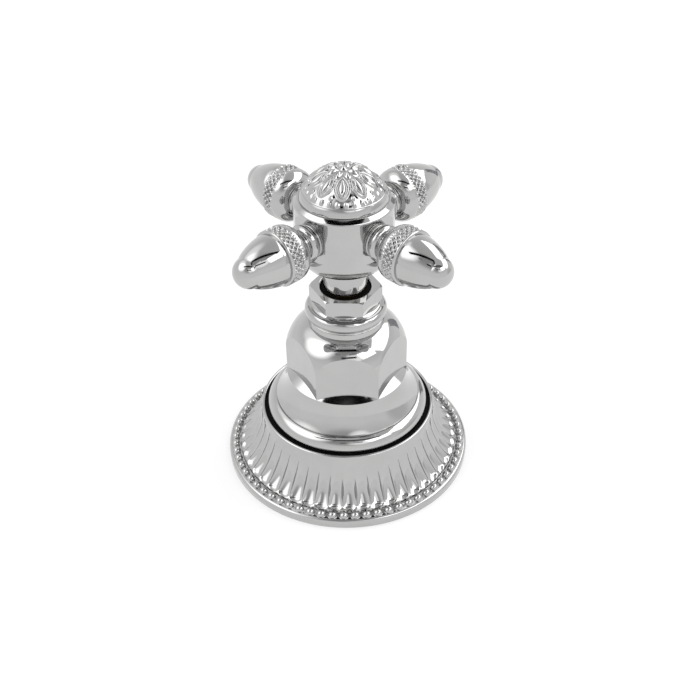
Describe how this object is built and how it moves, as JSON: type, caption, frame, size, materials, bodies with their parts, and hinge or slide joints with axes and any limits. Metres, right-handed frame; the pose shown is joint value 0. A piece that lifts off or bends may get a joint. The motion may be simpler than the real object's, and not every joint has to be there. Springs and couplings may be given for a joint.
{
  "type": "shut-off valve",
  "caption": "Quarter-turn shut-off valve trim: fluted round escutcheon, hexagonal bell, gland nut and a cross handle with acorn ends, on a ceramic-disc headwork.",
  "frame": {"origin": "on the spindle's axis, in the face that lies on the wall", "axes": "+Z along the spindle, from the wall to the button; the arms lie on the diagonals of X and Y with the valve shut"},
  "size_m": [0.0636, 0.0636, 0.0821],
  "materials": {
    "chrome": "polished chrome plate on brass",
    "brass": "machined bare brass",
    "steel": "stainless steel",
    "ceramic": "lapped alumina, off-white",
    "black_rubber": "black moulded rubber",
    "white_nylon": "natural nylon",
    "red_fibre": "red vulcanised fibre",
    "grey_foam": "closed-cell foam"
  },
  "bodies": {
    "valve": {"escutcheon": "chrome", "bell": "chrome", "gland_nut": "chrome", "headwork_body": "brass", "fixed_disc": "ceramic", "splash_ring": "black_rubber", "seat_seal": "black_rubber", "gland_seal": "black_rubber", "thrust_washer": "white_nylon", "headwork_washer": "red_fibre", "wall_gasket": "grey_foam"},
    "handle": {"spindle": "brass", "moving_disc": "ceramic", "spindle_ring_lower": "black_rubber", "spindle_ring_upper": "black_rubber", "circlip": "steel", "handle_hub": "chrome", "spline_bush": "brass", "handle_screw": "steel", "screw_washer": "steel", "index_button": "chrome", "button_ring": "black_rubber", "arm_studs": "steel", "arm_collar_1": "chrome", "acorn_cap_1": "chrome", "acorn_nut_1": "chrome", "arm_collar_2": "chrome", "acorn_cap_2": "chrome", "acorn_nut_2": "chrome", "arm_collar_3": "chrome", "acorn_cap_3": "chrome", "acorn_nut_3": "chrome", "arm_collar_4": "chrome", "acorn_cap_4": "chrome", "acorn_nut_4": "chrome"}
  },
  "joints": [
    {"name": "handle_turn", "type": "hinge", "parent": "valve", "child": "handle", "pos_m": [0, 0, 0], "axis": [0, 0, 1], "range_deg": [0, 90]}
  ]
}
